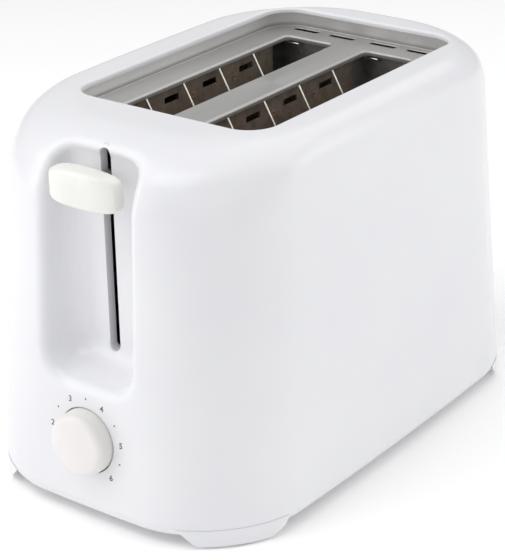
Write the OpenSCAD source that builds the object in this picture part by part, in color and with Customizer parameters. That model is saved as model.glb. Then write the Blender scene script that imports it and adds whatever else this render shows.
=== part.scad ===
// Two-slice pop up toaster. Units are millimetres, +Z is up, the front (lever and dial) faces -Y,
// and the origin is on the surface it stands on, under the middle of its overall box.

/* [Shell] */
// Overall height
shell_h = 180; // [179:0.5:181]
// Height of the shell's lower edge above the table
skirt_h = 5; // [4.5:0.5:5.5]
// Half width of the shell at its lower edge
side_low = 80.9; // [80:0.1:82]
// Half width where the top edge starts to round over
side_mid = 73.5; // [73:0.1:74.5]
// Half width of the flat top
side_top = 61; // [60.5:0.1:62]
// Height at which the sides start to round over
side_z = 166.4; // [165:0.2:168]
// Reach of the front and the back at their lower edge
front_low = 132.4; // [131.5:0.1:133]
// Reach of the front where it starts to round over
front_mid = 123.9; // [123:0.1:125]
// Reach of the front at the flat top
front_top = 88; // [87:0.5:89]
// Height at which the front starts to round over
front_z = 148.3; // [147:0.1:150]
// Reach of the back where it starts to round over
back_mid = 122.5; // [122:0.1:124]
// Reach of the back at the flat top
back_top = 102.5; // [102:0.5:104]
// Height at which the back starts to round over
back_z = 157.1; // [156:0.1:158]
// Radius of the vertical corners
plan_r = 51.8; // [50:0.1:53]
// Bulge of the front, back and sides at their middles
crown = 3.2; // [2.8:0.1:3.4]
// Wall thickness
wall = 2.4; // [2.2:0.1:2.5]

/* [Top well and bread slots] */
// Half width of the opening in the top
well_x = 53.5; // [53:0.1:54]
// Front end of the opening
well_front = 72.6; // [72:0.1:73]
// Back end of the opening
well_back = 94.6; // [94:0.1:95]
// Depth of the steel plate below the rim
well_depth = 9.5; // [9:0.1:10]
// Distance of each bread slot's centre from the middle
slot_x = 24.1; // [24:0.1:24.2]
// Width of a bread slot
slot_w = 28.9; // [28.5:0.1:29]
// Front end of the bread slots
slot_front = 56; // [55:0.5:56.5]
// Back end of the bread slots
slot_back = 78; // [77:0.5:78.5]

/* [Lever] */
// Travel of the lever from up to latched
lever_travel = 74; // [72:0.5:74]
// Width of the channel that the lever runs in
channel_w = 51.5; // [50:0.5:52]
// Distance of the channel floor from the middle
channel_floor = 110.3; // [110:0.1:110.6]
// Width of the slot in the channel floor
arm_slot_w = 5.8; // [5.6:0.1:6]
// Width of the lever knob
knob_w = 37.4; // [36:0.2:38]
// Height of the lever knob at its middle
knob_h = 17.5; // [17:0.5:18]
// Height of the lever knob's lower edge when it is up
knob_low = 152; // [151.5:0.5:152.5]

/* [Browning dial] */
// Height of the dial's axis
dial_z = 41.3; // [41:0.1:42]
// Radius of the dial
dial_r = 15.5; // [15:0.1:15.8]
// Front face of the dial from the middle
dial_front = 142.3; // [142:0.1:142.6]

/* [Toasting chamber] */
// Height of the bread rack's top edge when the lever is up
rack_z = 110; // [109:0.5:111]
// Distance of each outer heater board from the middle
outer_board_x = 44; // [43.8:0.1:44.4]
// Distance of each inner heater board from the middle
inner_board_x = 5; // [4.9:0.1:5.1]
// Spacing of the bread guard wires
guard_pitch = 28.2; // [27.5:0.1:29]
// Number of wires in each bread guard
guard_count = 4; // [3:1:4]

/* [Cord inlet] */
// Height of the gland's axis
gland_z = 45; // [44:0.5:46]
// Radius of the gland's bore
gland_bore_r = 3.6; // [3.4:0.1:3.8]

/* [Hidden] */
$fn = 48;
eps = 0.01;

// Colours
shell_white = [0.93, 0.94, 0.95];
knob_white = [0.94, 0.94, 0.91];
steel = [0.74, 0.74, 0.75];
dull_steel = [0.6, 0.6, 0.6];
mica = [0.42, 0.36, 0.3];
nichrome = [0.5, 0.47, 0.43];
wire_bright = [0.85, 0.83, 0.76];
phenolic = [0.25, 0.17, 0.12];
board_green = [0.1, 0.35, 0.2];
copper = [0.75, 0.42, 0.24];
rubber_grey = [0.25, 0.25, 0.26];
brass = [0.78, 0.65, 0.35];
lead_brown = [0.35, 0.2, 0.12];
lead_blue = [0.2, 0.35, 0.65];

// Shell section
arc_steps = 9;
run_steps = 6;
tuck_h = 7;
tuck_in = 5;
outer_levels = concat(
    [for (i = [0:4]) skirt_h + tuck_h * (1 - cos(90 * i / 4))],
    [for (i = [0:13]) front_z + (shell_h - front_z) * sin(90 * i / 13)]
);
roof_h = shell_h - wall;
inner_levels = concat(
    [skirt_h - 1, skirt_h, skirt_h + 3, skirt_h + tuck_h],
    [for (i = [0:10]) front_z + (roof_h - front_z) * sin(90 * i / 10)]
);

// Heights and places worked out from the dimensions above
plate_z = shell_h - well_depth;
plate_t = 0.8;
lip_h = 2.6;
chassis_top = plate_z - plate_t - 0.5;
chassis_front_y = -60;
chassis_rear_y = 82;
chassis_x = 56;
sheet = 1;
floor_top = 10;
floor_t = 2.5;
pad_h = 2.2;
foot_gap = 0.8;
tray_x = 46;
tray_front = -56;
tray_back = 124;
tray_low = 11.5;
tray_h = 8.5;
rod_y = -76;
rod_r = 3;
rod_fit = 0.06;
block_low = 118;
block_h = 24;
arm_low = knob_low + 3.5;
arm_h = 8;
arm_t = 2.4;
arm_reach = 127;
knob_front = 131.5;
knob_back = 120;
magnet_x = 26;
magnet_y = -78;
shelf_z = 26;
armature_low = 128;
armature_t = 2.5;
spring_low = 26;
spring_r = 5;
spring_wire_r = 0.6;
board_y = -106.4;
board_t = 1.6;
shaft_r = 3;
shaft_fit = 0.05;
guard_r = 0.6;
rail_r = 0.75;
guard_open = 8;
guard_first_y = -34.8;

function taper(z, z1, low, mid, top, p) =
    z <= z1
        ? low + (mid - low) * (z - skirt_h) / (z1 - skirt_h)
        : top + (mid - top) * pow(max(0, 1 - pow((z - z1) / (shell_h - z1), p)), 1 / p);

function side_at(z) = taper(z, side_z, side_low, side_mid, side_top, 2.35);

function front_at(z) = taper(z, front_z, front_low, front_mid, front_top, 2);

function back_at(z) = taper(z, back_z, front_low, back_mid, back_top, 1.75);

// How far the shell tucks in just above its lower edge
function tuck(z) =
    let (u = min(1, max(0, (skirt_h + tuck_h - z) / tuck_h)))
    tuck_in * (1 - sqrt(1 - u * u));

// Outline of the shell at height z, drawn in by inset
function outline(z, inset = 0) =
    let (
        d = inset + tuck(z),
        hx = side_at(z) - d,
        hf = front_at(z) - d,
        hb = back_at(z) - d,
        r = plan_r - d,
        ends = [[1, 1], [-1, 1], [-1, -1], [1, -1]],
        base = [
            for (k = [0:3])
                let (
                    c = ends[k],
                    n = ends[(k + 1) % 4],
                    hy = c.y > 0 ? hb : hf,
                    ny = n.y > 0 ? hb : hf,
                    centre = [c.x * (hx - r), c.y * (hy - r)],
                    next = [n.x * (hx - r), n.y * (ny - r)],
                    a1 = 90 * (k + 1),
                    out = [cos(a1), sin(a1)]
                )
                each concat(
                    [for (i = [0:arc_steps])
                        let (a = 90 * (k + i / arc_steps), dir = [cos(a), sin(a)])
                        [centre + r * dir, dir]],
                    [for (i = [1:run_steps - 1])
                        [centre + (next - centre) * i / run_steps + r * out, out]]
                )
        ]
    )
    [for (p = base)
        let (hy = p[0].y > 0 ? hb : hf)
        p[0] + p[1] * crown * (p[1].y * p[1].y * (1 - pow(p[0].x / hx, 2))
            + p[1].x * p[1].x * (1 - pow(p[0].y / hy, 2)))];

module slice(z, inset = 0) {
    translate([0, 0, z - eps])
        linear_extrude(eps)
            polygon(outline(z, inset));
}

module loft(levels, inset = 0) {
    for (i = [0:len(levels) - 2])
        hull() {
            slice(levels[i], inset);
            slice(levels[i + 1], inset);
        }
}

module box(low, high) {
    translate(low)
        cube(high - low);
}

module rod_y_axis(x, y0, y1, z, r) {
    translate([x, y0, z])
        rotate([-90, 0, 0])
            cylinder(h = y1 - y0, r = r);
}

module rounded_rect(x, y0, y1, r) {
    hull()
        for (sx = [-1, 1], y = [y0 + r, y1 - r])
            translate([sx * (x - r), y])
                circle(r);
}

// Rounded slab in the XZ plane, from y to y + t
module slab(x, z0, z1, r, y, t) {
    translate([0, y + t, 0])
        rotate([90, 0, 0])
            linear_extrude(t)
                rounded_rect(x, z0, z1, r, $fn = 32);
}

// The lever channel, drawn larger by grow for its outer wall
module channel(grow = 0) {
    x = channel_w / 2 + 0.75;
    hull() {
        slab(x + 2 + grow, 60 - grow, 184 + grow, 17, -150, eps);
        slab(x - 4 + grow, 74 - grow, 177 + grow, 12, -channel_floor + grow, eps);
    }
}

screw_spots = [[62, -84], [-62, -84], [62, 84], [-62, 84]];
arm_slot_low = 77.1;
arm_slot_high = 174;
collar_t = 2;

module housing() {
    color(shell_white)
        difference() {
            union() {
                difference() {
                    loft(outer_levels);
                    loft(inner_levels, wall);
                }
                intersection() {
                    loft(outer_levels, 0.2);
                    union() {
                        channel(wall);
                        // collar behind the slot for the lever arm
                        slab(arm_slot_w / 2 + collar_t, arm_slot_low - collar_t, arm_slot_high + collar_t,
                            arm_slot_w / 2 + collar_t, 1 - channel_floor, 3.5);
                        for (s = screw_spots) {
                            translate([s.x, s.y, floor_top + 1])
                                cylinder(h = 36, r = 4.5, $fn = 24);
                            box([min(s.x, sign(s.x) * 90), s.y - 1, floor_top + 1],
                                [max(s.x, sign(s.x) * 90), s.y + 1, floor_top + 37]);
                        }
                    }
                }
            }
            channel();
            translate([0, 0, roof_h - 2])
                linear_extrude(10)
                    rounded_rect(well_x, -well_front, well_back, 14);
            // slot for the lever arm
            slab(arm_slot_w / 2, arm_slot_low, arm_slot_high, arm_slot_w / 2, -130, 34);
            // hole for the dial
            rod_y_axis(0, -150, -120, dial_z, dial_r + 0.5);
            // opening for the crumb tray
            box([-50.2, 100, 10.8], [50.2, 150, 24.2]);
            // hole for the cord gland
            rod_y_axis(0, 110, 150, gland_z, 6.8);
            for (s = screw_spots)
                translate([s.x, s.y, floor_top])
                    cylinder(h = 30, r = 1.7, $fn = 24);
        }
}

// The foot covers the part of the outline beyond these distances from the middle
foot_x = 46;
foot_y = 93.5;
foot_slope = [10.5, 6];

// Slice of a foot at height z, as wide as the housing would be without its tucked edge
module foot_slice(z, x, y) {
    translate([0, 0, z])
        linear_extrude(eps)
            intersection() {
                polygon(outline(skirt_h, 0.3 - tuck(skirt_h)));
                translate([x, y])
                    square(60);
            }
}

// The foot goes on up into the housing's tucked edge, in steps that stay clear of it
module foot() {
    steps = [skirt_h - 0.2, 6.5, 8.2];
    hull() {
        foot_slice(foot_gap, foot_x + foot_slope.x, foot_y + foot_slope.y);
        foot_slice(steps[0] - eps, foot_x, foot_y);
    }
    for (i = [0, 1])
        translate([0, 0, steps[i] - eps])
            linear_extrude(steps[i + 1] - steps[i] + eps)
                intersection() {
                    difference() {
                        polygon(outline(steps[i + 1], 0.3 - tuck(steps[i + 1])));
                        polygon(outline(steps[i + 1], -0.3));
                    }
                    translate([foot_x, foot_y])
                        square(60);
                }
    // neck that joins the foot to the plate above it
    translate([foot_x + 12, foot_y + 7.5, steps[0] - 2])
        cylinder(h = floor_top - 1 - steps[0] + 2, r = 8);
}

pad_spots = [[64, -107], [-64, -107], [64, 107], [-64, 107]];

module base_cover() {
    color(shell_white)
        difference() {
            union() {
                translate([0, 0, floor_top - floor_t])
                    linear_extrude(floor_t)
                        polygon(outline(floor_top - floor_t, wall + 0.8));
                for (sx = [0, 1], sy = [0, 1])
                    mirror([sx, 0, 0])
                        mirror([0, sy, 0])
                            foot();
                // uprights that carry the control board
                for (sx = [-1, 1])
                    box([sx * 36 - 4, board_y + board_t, floor_top - 1],
                        [sx * 36 + 4, board_y + board_t + 5, floor_top + 22]);
            }
            for (s = pad_spots)
                translate([s.x, s.y, -1])
                    cylinder(h = pad_h + 1, r = 7.05);
            for (s = screw_spots)
                translate([s.x, s.y, 0])
                    cylinder(h = 20, r = 1.9);
            for (s = chassis_screw_spots)
                translate([s.x, s.y, 0])
                    cylinder(h = 20, r = 2.1);
            for (sx = [-1, 1])
                rod_y_axis(sx * 36, board_y, board_y + board_t + 4, 26, 1.25);
            // vents under the toasting chamber
            for (x = [-30:10:30], y = [-30, 10, 50])
                box([x - 1.5, y - 12, 0], [x + 1.5, y + 12, 20]);
        }
}

module foot_pads() {
    color(rubber_grey)
        for (s = pad_spots)
            translate([s.x, s.y, 0])
                cylinder(h = pad_h, r = 7);
}

module screw(h, r, head_r, head_h) {
    difference() {
        union() {
            cylinder(h = h, r = r, $fn = 24);
            translate([0, 0, -head_h])
                cylinder(h = head_h, r = head_r, $fn = 24);
        }
        for (a = [0, 90])
            rotate(a)
                translate([-head_r * 0.6, -0.4, -head_h - 1])
                    cube([head_r * 1.2, 0.8, 1.8]);
    }
}

module base_screws() {
    color(dull_steel)
        for (s = screw_spots)
            translate([s.x, s.y, floor_top - floor_t])
                screw(24, 1.6, 3.2, 1.8);
}

module slot_hole(grow, low, high) {
    for (sx = [-1, 1])
        translate([sx * slot_x, 0, low])
            linear_extrude(high - low)
                rounded_rect(slot_w / 2 + grow, -slot_front - grow, slot_back + grow, 3.5 + grow);
}

vent_spots = [[-42, -27], [-20, -5], [5, 20], [27, 42]];

module top_plate() {
    liner_x = well_x + 2.3;
    color(steel)
        difference() {
            union() {
                translate([0, 0, plate_z - plate_t])
                    linear_extrude(plate_t)
                        rounded_rect(liner_x, -well_front - 2.3, well_back + 2.3, 16);
                translate([0, 0, plate_z - plate_t])
                    linear_extrude(roof_h - 0.1 - plate_z + plate_t)
                        difference() {
                            rounded_rect(liner_x, -well_front - 2.3, well_back + 2.3, 16);
                            rounded_rect(liner_x - plate_t, -well_front - 1.5, well_back + 1.5, 15.2);
                        }
                slot_hole(plate_t, plate_z - lip_h, plate_z - eps);
            }
            slot_hole(0, plate_z - 10, plate_z + 10);
            for (v = vent_spots)
                box([v[0], 88, plate_z - 5], [v[1], 91.5, plate_z + 5]);
        }
}

gland_back = back_at(gland_z) + crown;

module cord_gland() {
    color(rubber_grey)
        difference() {
            union() {
                rod_y_axis(0, gland_back - 9, dial_front, gland_z, 6.5);
                rod_y_axis(0, gland_back + 0.8, gland_back + 3, gland_z, 9.5);
            }
            rod_y_axis(0, gland_back - 10, dial_front + 1, gland_z, gland_bore_r);
        }
}

module gland_nut() {
    color(rubber_grey)
        difference() {
            translate([0, gland_back - 8, gland_z])
                rotate([-90, 0, 0])
                    cylinder(h = 4, r = 10, $fn = 6);
            rod_y_axis(0, gland_back - 9, gland_back, gland_z, 6.55);
        }
}

module chassis_front_plate() {
    y = chassis_front_y;
    color(dull_steel)
        difference() {
            union() {
                box([-chassis_x, y, floor_top], [chassis_x, y + sheet, chassis_top]);
                box([-chassis_x, y - 12, floor_top], [chassis_x, y + sheet, floor_top + sheet]);
            }
            for (sx = [-1, 1])
                box([sx * slot_x - 2, y - 1, 25], [sx * slot_x + 2, y + 2, rack_z + 4]);
            for (s = chassis_screw_spots)
                translate([s.x, s.y, 0])
                    cylinder(h = 20, r = 2.1);
            // cooling holes above the carriage
            for (x = [-40, 40], z = [140:8:156])
                rod_y_axis(x, y - 1, y + 2, z, 2.5);
        }
}

module chassis_rear_plate() {
    y = chassis_rear_y;
    color(dull_steel)
        difference() {
            union() {
                box([-chassis_x, y, floor_top], [chassis_x, y + sheet, chassis_top]);
                for (sx = [-1, 1])
                    translate([sx * 55.5, 0, 0])
                        box([-4.5, y, floor_top], [4.5, y + 12, floor_top + sheet]);
            }
            box([-51, y - 1, 0], [51, y + 2, 24]);
            for (sx = [-1, 1])
                box([sx * slot_x - 2, y - 1, 25], [sx * slot_x + 2, y + 2, rack_z + 4]);
            for (s = chassis_screw_spots)
                translate([s.x, s.y, 0])
                    cylinder(h = 20, r = 2.1);
        }
}

chassis_screw_spots = [[34, -67], [-34, -67], [55.5, 89], [-55.5, 89]];

module chassis_screws() {
    color(dull_steel)
        for (s = chassis_screw_spots)
            translate([s.x, s.y, floor_top - floor_t])
                screw(7, 2, 3.6, 1.8);
}

module side_reflector(s) {
    color(steel)
        difference() {
            union() {
                box([min(s * 51.6, s * 52.4), chassis_front_y + sheet, 26],
                    [max(s * 51.6, s * 52.4), chassis_rear_y, chassis_top]);
                box([min(s * 46.5, s * 52.4), chassis_front_y + sheet, chassis_top - 0.8],
                    [max(s * 46.5, s * 52.4), chassis_rear_y, chassis_top]);
            }
            for (y = [-40:26:64])
                box([s * 52 - 2, y - 8, 60], [s * 52 + 2, y + 8, 63]);
        }
}

module side_reflector_left() {
    side_reflector(-1);
}

module side_reflector_right() {
    side_reflector(1);
}

module tray_rail(s) {
    color(dull_steel)
        union() {
            box([min(s * 47.5, s * 49), -57, floor_top], [max(s * 47.5, s * 49), 118, 21]);
            box([min(s * 43, s * 49), -57, floor_top], [max(s * 43, s * 49), 118, floor_top + 1]);
        }
}

module tray_rail_left() {
    tray_rail(-1);
}

module tray_rail_right() {
    tray_rail(1);
}

// Heater boards: mica sheets with locating holes near the top and tabs at the ends
mica_t = 0.8;
mica_low = 30;
mica_high = 166;
mica_front = -58.9;
mica_back = 72;
hole_first_y = -41;
hole_pitch = 30;
eyelet_z = 157.6;
eyelet_r = 1.1;
eyelet_ys = [5.4, 39.2];

module heater_board(x) {
    color(mica)
        difference() {
            union() {
                box([x - mica_t / 2, mica_front, mica_low], [x + mica_t / 2, mica_back, mica_high]);
                box([x - mica_t / 2, mica_back - 1, 60], [x + mica_t / 2, chassis_rear_y, 120]);
            }
            for (i = [0:3])
                box([x - 2, hole_first_y + i * hole_pitch - 5.5, 158.6],
                    [x + 2, hole_first_y + i * hole_pitch + 5.5, 161.8]);
            for (y = eyelet_ys)
                translate([x - 2, y, eyelet_z])
                    rotate([0, 90, 0])
                        cylinder(h = 4, r = eyelet_r + 0.05, $fn = 24);
        }
}

module heater_board_left_outer() {
    heater_board(-outer_board_x);
}

module heater_board_left_inner() {
    heater_board(-inner_board_x);
}

module heater_board_right_inner() {
    heater_board(inner_board_x);
}

module heater_board_right_outer() {
    heater_board(outer_board_x);
}

// Hollow rivets near the top of each board
module board_eyelets() {
    flange = 0.3;
    color(copper)
        for (x = [-outer_board_x, -inner_board_x, inner_board_x, outer_board_x], y = eyelet_ys)
            translate([x, y, eyelet_z])
                rotate([0, 90, 0])
                    difference() {
                        union() {
                            cylinder(h = mica_t + 2 * flange, r = eyelet_r, center = true, $fn = 24);
                            for (side = [-1, 1])
                                translate([0, 0, side * (mica_t + flange) / 2])
                                    cylinder(h = flange, r = eyelet_r + 0.6, center = true, $fn = 24);
                        }
                        cylinder(h = 4, r = eyelet_r - 0.4, center = true, $fn = 24);
                    }
}

// Ribbon winding: runs across both faces of a board, linked at alternate ends
ribbon_t = 0.3;
ribbon_w = 2;
ribbon_first = 42;
ribbon_pitch = 9.5;
ribbon_runs = 11;

module heater_ribbon(x) {
    side = mica_t / 2 + ribbon_t;
    front = mica_front + 8;
    back = mica_back - 8;
    color(nichrome)
        union() {
            for (face = [-1, 1], i = [0:ribbon_runs - 1])
                translate([x + face * (mica_t / 2 + ribbon_t / 2), 0, ribbon_first + i * ribbon_pitch])
                    translate([-ribbon_t / 2, front, 0])
                        cube([ribbon_t, back - front, ribbon_w]);
            for (face = [-1, 1], i = [0:ribbon_runs - 2])
                translate([x + face * (mica_t / 2 + ribbon_t / 2) - ribbon_t / 2,
                        i % 2 == 0 ? back - ribbon_w : front, ribbon_first + i * ribbon_pitch])
                    cube([ribbon_t, ribbon_w, ribbon_pitch + ribbon_w]);
        }
}

module heater_ribbon_left_outer() {
    heater_ribbon(-outer_board_x);
}

module heater_ribbon_left_inner() {
    heater_ribbon(-inner_board_x);
}

module heater_ribbon_right_inner() {
    heater_ribbon(inner_board_x);
}

module heater_ribbon_right_outer() {
    heater_ribbon(outer_board_x);
}

// Bread guard on the left of a slot: wires that funnel in from under the slot's edge, on two rails
module left_guard() {
    rail_x = -16;
    rail_z = 168.2;
    wire_x = -guard_open;
    bend_z = 154.2;
    foot_z = 30;
    end_bar_z = 166.2;
    lean = atan2(wire_x - rail_x, rail_z - bend_z);
    color(wire_bright)
        union() {
            rod_y_axis(rail_x, chassis_front_y + sheet, chassis_rear_y, rail_z, rail_r);
            rod_y_axis(wire_x, chassis_front_y + sheet, chassis_rear_y, foot_z, rail_r);
            // bar across the far end, hung from the upper rail
            translate([rail_x, chassis_rear_y - 2.5, end_bar_z])
                cylinder(h = rail_z - end_bar_z, r = guard_r);
            translate([rail_x - 1, chassis_rear_y - 2.5, end_bar_z])
                rotate([0, 90, 0])
                    cylinder(h = wire_x - rail_x + 1, r = rail_r);
            for (i = [0:guard_count - 1])
                translate([0, guard_first_y + i * guard_pitch, 0]) {
                    translate([wire_x, 0, foot_z])
                        cylinder(h = bend_z - foot_z, r = guard_r);
                    translate([wire_x, 0, bend_z])
                        sphere(guard_r * 1.15, $fn = 24);
                    translate([wire_x, 0, bend_z])
                        rotate([0, -lean, 0])
                            cylinder(h = (rail_z - bend_z) / cos(lean), r = guard_r);
                }
        }
}

// s is the side of the slot that the guard stands on
module bread_guard(centre, s) {
    translate([centre, 0, 0])
        mirror([s > 0 ? 1 : 0, 0, 0])
            left_guard();
}

module guard_left_outer() {
    bread_guard(-slot_x, -1);
}

module guard_left_inner() {
    bread_guard(-slot_x, 1);
}

module guard_right_inner() {
    bread_guard(slot_x, -1);
}

module guard_right_outer() {
    bread_guard(slot_x, 1);
}

module guide_rod() {
    color(steel)
        translate([0, rod_y, floor_top])
            cylinder(h = 168.5 - floor_top, r = rod_r);
}

module rod_bracket(z, flange_low, flange_high) {
    color(dull_steel)
        difference() {
            union() {
                box([-12, rod_y - 10, z], [12, chassis_front_y, z + 2]);
                box([-12, chassis_front_y - 2, flange_low], [12, chassis_front_y, flange_high]);
            }
            translate([0, rod_y, z - 1])
                cylinder(h = 4, r = rod_r + 0.02);
        }
}

module rod_bracket_top() {
    rod_bracket(165.5, 150, 167.5);
}

module rod_bracket_bottom() {
    rod_bracket(spring_low - 2, 14, spring_low);
}

// Round wire or lead swept along a path that never runs straight up
module sweep(path, r, sides) {
    last = len(path) - 1;
    rings = [
        for (i = [0:last])
            let (
                step = path[min(i + 1, last)] - path[max(i - 1, 0)],
                along = step / norm(step),
                side = cross(along, [0, 0, 1]) / norm(cross(along, [0, 0, 1])),
                up = cross(side, along)
            )
            for (j = [0:sides - 1])
                path[i] + r * (cos(360 * j / sides) * side + sin(360 * j / sides) * up)
    ];
    faces = concat(
        [[for (j = [0:sides - 1]) j]],
        [for (i = [0:last - 1], j = [0:sides - 1])
            let (a = i * sides, b = (i + 1) * sides, k = (j + 1) % sides)
            each [[a + j, b + j, b + k], [a + j, b + k, a + k]]],
        [[for (j = [sides - 1:-1:0]) last * sides + j]]
    );
    polyhedron(rings, faces);
}

spring_turns = 9;
spring_steps = 14;

module return_spring() {
    rise = block_low - spring_low - 2 * spring_wire_r;
    count = spring_turns * spring_steps;
    path = [
        for (i = [0:count])
            let (a = 360 * i / spring_steps, z = spring_low + spring_wire_r + rise * i / count)
            [spring_r * cos(a), spring_r * sin(a), z]
    ];
    color(steel)
        translate([0, rod_y, 0])
            sweep(path, spring_wire_r, 6);
}

module carriage_block() {
    color(phenolic)
        difference() {
            box([-9, rod_y - 10, block_low], [9, rod_y + 10, block_low + block_h]);
            translate([0, rod_y, block_low - 1])
                cylinder(h = block_h + 2, r = rod_r + rod_fit);
        }
}

module lever_arm() {
    back = rod_y - 10;
    color(dull_steel)
        translate([arm_t / 2, 0, 0])
            rotate([90, 0, -90])
                linear_extrude(arm_t)
                    polygon([
                        [arm_reach, arm_low], [arm_reach, arm_low + arm_h], [-back, arm_low + arm_h],
                        [-back, block_low + 2], [-back + 5, block_low + 2], [-back + 5, arm_low]
                    ]);
}

module rack_crossbar() {
    back = rod_y + 10;
    color(dull_steel)
        union() {
            box([-30, back, rack_z - 8], [30, back + 1.5, armature_low + armature_t + 1.5]);
            box([magnet_x - 9, magnet_y - 7, armature_low + armature_t],
                [magnet_x + 4, back + 1.5, armature_low + armature_t + 1.5]);
        }
}

module bread_rack(x) {
    color(steel)
        union() {
            box([x - 0.6, rod_y + 11.5, rack_z - 8], [x + 0.6, chassis_rear_y + 4, rack_z]);
            for (y = [-50:15.5:74])
                box([x - 6.3, y - 1.5, rack_z - 1.5], [x + 6.3, y + 1.5, rack_z]);
        }
}

module bread_rack_left() {
    bread_rack(-slot_x);
}

module bread_rack_right() {
    bread_rack(slot_x);
}

module armature_plate() {
    color(steel)
        box([magnet_x - 9, magnet_y - 7, armature_low],
            [magnet_x + 9, magnet_y + 7, armature_low + armature_t]);
}

contact_top = 54.4;

module contact_presser() {
    low = contact_top + lever_travel + 0.6;
    color(phenolic)
        union() {
            box([-30, -88, low + 3], [-23, rod_y + 10, low + 6]);
            box([-50, -93, low + 3], [-23, -87, low + 6]);
            box([-50, -93, low], [-37, -88, low + 3.5]);
        }
}

// The knob has a straight lower edge, an arched top and a bowed front, and is widest at its middle
module lever_knob() {
    edge = 3.5;
    half = knob_w / 2 - edge;
    color(knob_white)
        difference() {
            hull()
                for (i = [-3:3])
                    let (
                        fall = pow(abs(i) / 3, 2.4),
                        x = half * i / 3,
                        y = knob_front - edge - 3.5 * fall,
                        low = knob_low + edge + 0.5 * fall,
                        high = knob_low + knob_h - edge - 3.5 * fall
                    )
                    for (z = [low, high]) {
                        translate([x, -y, z])
                            sphere(edge, $fn = 20);
                        translate([x, -knob_back - edge, z])
                            sphere(edge, $fn = 20);
                    }
            box([-arm_t / 2, -arm_reach, arm_low], [arm_t / 2, -110, arm_low + arm_h]);
        }
}

module magnet_core() {
    top = armature_low - lever_travel - 0.3;
    color(dull_steel)
        union() {
            box([magnet_x - 9, magnet_y - 6, shelf_z], [magnet_x + 9, magnet_y + 6, shelf_z + 4]);
            for (leg = [[-9, 3.5], [-2.5, 5], [5.5, 3.5]])
                box([magnet_x + leg[0], magnet_y - 6, shelf_z],
                    [magnet_x + leg[0] + leg[1], magnet_y + 6, top]);
        }
}

module magnet_coil() {
    color(copper)
        difference() {
            box([magnet_x - 5, magnet_y - 9, 32], [magnet_x + 5, magnet_y + 9, 49]);
            box([magnet_x - 2.6, magnet_y - 6.1, 30], [magnet_x + 2.6, magnet_y + 6.1, 60]);
        }
}

module magnet_bracket() {
    color(dull_steel)
        union() {
            box([magnet_x - 11, magnet_y - 8, shelf_z - 2], [magnet_x + 12, chassis_front_y, shelf_z]);
            box([magnet_x - 11, chassis_front_y - 2, 13], [magnet_x + 12, chassis_front_y, shelf_z]);
        }
}

module contact_block() {
    color(phenolic)
        box([-53, -84, 40], [-34, chassis_front_y, 50]);
}

module contact_springs() {
    color(brass)
        for (x = [-51, -41]) {
            box([x, -98, 50], [x + 5, -66, 50.5]);
            box([x, -72, 50.5], [x + 5, -66, 53.9]);
            box([x, -98, 53.9], [x + 5, -66, contact_top]);
            translate([x + 2.5, -95, 50.5])
                cylinder(h = 1, r = 1.5, $fn = 24);
        }
}

module control_board() {
    color(board_green)
        difference() {
            box([-42, board_y, 18], [42, board_y + board_t, 64]);
            for (sx = [-1, 1])
                rod_y_axis(sx * 36, board_y - 1, board_y + 3, 26, 1.6);
        }
}

module board_components() {
    front = board_y;
    color(phenolic)
        union() {
            box([24, front - 14, 34], [40, front, 52]);
            rod_y_axis(-30, front - 12, front, 42, 6);
            rod_y_axis(-30, front - 9, front, 56, 4);
            box([-22, front - 4, 52], [-12, front, 60]);
            box([-10, board_y + board_t, 20], [10, board_y + board_t + 7, 28]);
        }
}

module board_screws() {
    color(dull_steel)
        for (sx = [-1, 1])
            translate([sx * 36, board_y, 26])
                rotate([-90, 0, 0])
                    screw(5, 1.2, 2.6, 1.6);
}

pot_front = -120;

module potentiometer() {
    color(dull_steel)
        difference() {
            union() {
                rod_y_axis(0, board_y - 8, board_y, dial_z, 9);
                rod_y_axis(0, pot_front, board_y - 8, dial_z, 4.4);
            }
            rod_y_axis(0, pot_front - 1, board_y - 2, dial_z, shaft_r + shaft_fit);
        }
}

module dial_shaft() {
    color(steel)
        rod_y_axis(0, -134, board_y - 2.5, dial_z, shaft_r);
}

module dial_knob() {
    front = -dial_front;
    color(knob_white)
        translate([0, front, dial_z])
            rotate([-90, 0, 0])
                difference() {
                    union() {
                        difference() {
                            rotate_extrude($fn = 96)
                                polygon(concat(
                                    [[0, 0], [dial_r - 6, 0.35]],
                                    [for (a = [0:10:90])
                                        [dial_r - 4.6 + 4.1 * sin(a), 0.9 + 4.1 * (1 - cos(a))]],
                                    [[dial_r, 9.5], [dial_r, 20], [0, 20]]
                                ));
                            translate([0, 0, 8.5])
                                cylinder(h = 20, r = dial_r - 2);
                        }
                        translate([0, 0, 5])
                            cylinder(h = 16, r = 6);
                    }
                    translate([0, 0, 8.3])
                        cylinder(h = 20, r = shaft_r);
                }
}

module terminal_block() {
    y = chassis_rear_y + sheet;
    color(knob_white)
        difference() {
            box([-14, y, 36], [14, y + 14, 52]);
            for (x = [-7, 7])
                rod_y_axis(x, y + 4, y + 20, 44, 2);
        }
}

// Inner lead from the terminal block along one side to the control board
module lead(s) {
    color(s > 0 ? lead_brown : lead_blue)
        sweep([
            [s * 14, 90, 46], [s * 30, 95, 48], [s * 46, 97, 50], [s * 56, 92, 51], [s * 60, 80, 51],
            [s * 60, 60, 46], [s * 60, 30, 36], [s * 60, 0, 31], [s * 60, -40, 30], [s * 58.5, -62, 29.5],
            [s * 53, -76, 28], [s * 47, -88, 26], [s * 38, -96, 25], [s * 26, -100, 24], [s * 10, -101, 24]
        ], 1.2, 8);
}

module lead_live() {
    lead(1);
}

module lead_neutral() {
    lead(-1);
}

module crumb_tray() {
    color(steel)
        difference() {
            box([-tray_x, tray_front, tray_low], [tray_x, tray_back, tray_low + tray_h]);
            box([-tray_x + 0.8, tray_front + 0.8, tray_low + 0.8],
                [tray_x - 0.8, tray_back - 0.8, tray_low + 20]);
        }
}

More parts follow.
